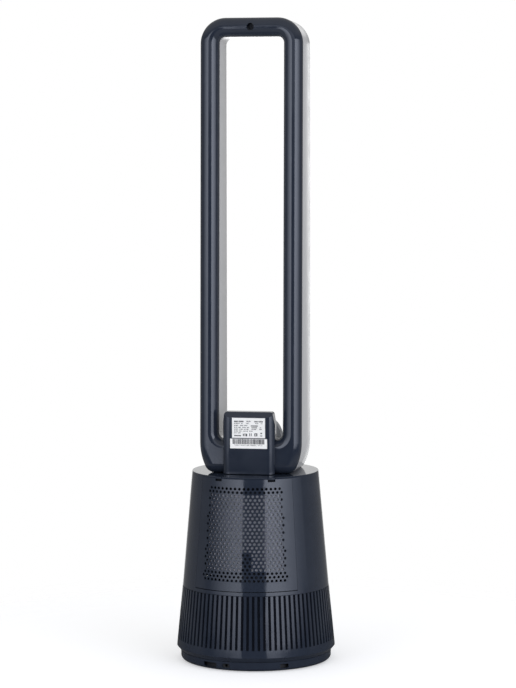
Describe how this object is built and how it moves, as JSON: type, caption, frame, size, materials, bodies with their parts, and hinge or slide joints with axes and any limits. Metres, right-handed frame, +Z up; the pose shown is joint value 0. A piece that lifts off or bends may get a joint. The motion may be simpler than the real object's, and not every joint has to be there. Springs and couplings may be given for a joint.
{
  "type": "bladeless fan",
  "caption": "Bladeless tower fan: a slotted round base with a removable perforated rear cover carries an upright open air loop and swings on a low plinth.",
  "frame": {"origin": "centre of the plinth's footprint, at the underside of the foot pads", "axes": "+Z up the tower, -Y the side the air leaves, +Y the side with the perforated cover, +X the left side of the pictured rear view"},
  "size_m": [0.238, 0.238, 0.96],
  "materials": {
    "shell_navy": "gloss dark blue-grey moulded plastic",
    "front_light": "gloss light grey moulded plastic",
    "pod_grey": "satin light grey moulded plastic",
    "inner_black": "matte black moulded plastic",
    "inner_grey": "matte grey moulded plastic",
    "button_dark": "gloss dark moulded plastic",
    "display": "gloss black tinted plastic",
    "impeller_white": "smooth natural white plastic",
    "gear_nylon": "natural nylon",
    "steel": "zinc plated steel",
    "ballast": "cast, black painted",
    "motor_metal": "cast aluminium housing",
    "board_green": "glass fibre board with green coating",
    "rubber": "matte black rubber",
    "foam": "closed cell foam rubber",
    "filter_paper": "pleated filter paper",
    "label": "satin white label stock"
  },
  "bodies": {
    "plinth": {"base_plate": "shell_navy", "foot_pads": "rubber", "ballast_ring": "ballast", "cord_gland": "rubber", "slide_ring": "gear_nylon", "ring_gear": "gear_nylon", "gear_screws": "steel", "hub_retainer": "steel", "hub_screws": "steel"},
    "tower": {"swivel_floor": "inner_black", "support_posts": "steel", "isolation_mounts": "rubber", "intake_ring": "shell_navy", "intake_screen": "inner_black", "floor_screws": "steel", "base_shell": "shell_navy", "top_deck": "shell_navy", "fan_housing": "inner_grey", "inlet_bell": "inner_grey", "motor_bucket": "inner_grey", "fan_motor": "motor_metal", "motor_bearings": "steel", "bucket_cap": "inner_grey", "air_duct": "inner_grey", "duct_gasket": "foam", "power_board": "board_green", "swing_motor": "motor_metal", "loop_rear_shell": "shell_navy", "loop_front_shell": "front_light", "air_guide": "inner_grey", "loop_screw": "steel", "neck_cover": "shell_navy", "rating_plate": "label", "code_plate": "label", "control_pod": "pod_grey", "display_window": "display", "control_board": "board_green"},
    "drive_pinion": {"drive_pinion": "gear_nylon"},
    "impeller": {"impeller": "impeller_white", "motor_shaft": "steel"},
    "rear_cover": {"rear_cover": "shell_navy", "filter_frame": "inner_black", "filter_pad": "filter_paper", "filter_pull_tab": "inner_black"},
    "cover_latch_left": {"cover_latch_left": "shell_navy"},
    "cover_latch_right": {"cover_latch_right": "shell_navy"},
    "power_button": {"power_button": "button_dark"},
    "speed_button": {"speed_button": "button_dark"},
    "swing_button": {"swing_button": "button_dark"}
  },
  "joints": [
    {"name": "swing", "type": "hinge", "parent": "plinth", "child": "tower", "pos_m": [0, 0, 0.016], "axis": [0, 0, 1], "range_deg": [-40, 40]},
    {"name": "pinion_turn", "type": "hinge", "parent": "tower", "child": "drive_pinion", "pos_m": [-0.0525, 0, 0.02], "axis": [0, 0, 1], "range_deg": [-160, 160]},
    {"name": "impeller_spin", "type": "hinge", "parent": "tower", "child": "impeller", "pos_m": [0, 0, 0.144], "axis": [0, 0, 1], "continuous": true},
    {"name": "cover_lift_off", "type": "slide", "parent": "tower", "child": "rear_cover", "axis": [0, 1, 0], "range_m": [0, 0.13]},
    {"name": "latch_left_press", "type": "slide", "parent": "rear_cover", "child": "cover_latch_left", "axis": [0, 0, -1], "range_m": [0, 0.002], "stiffness_N_per_m": 1500},
    {"name": "latch_right_press", "type": "slide", "parent": "rear_cover", "child": "cover_latch_right", "axis": [0, 0, -1], "range_m": [0, 0.002], "stiffness_N_per_m": 1500},
    {"name": "power_press", "type": "slide", "parent": "tower", "child": "power_button", "axis": [0, 1, 0], "range_m": [0, 0.0008], "stiffness_N_per_m": 2000},
    {"name": "speed_press", "type": "slide", "parent": "tower", "child": "speed_button", "axis": [0, 1, 0], "range_m": [0, 0.0008], "stiffness_N_per_m": 2000},
    {"name": "swing_press", "type": "slide", "parent": "tower", "child": "swing_button", "axis": [0, 1, 0], "range_m": [0, 0.0008], "stiffness_N_per_m": 2000}
  ],
  "couplings": [
    {"joint": "pinion_turn", "follows": "swing", "ratio": 4}
  ]
}
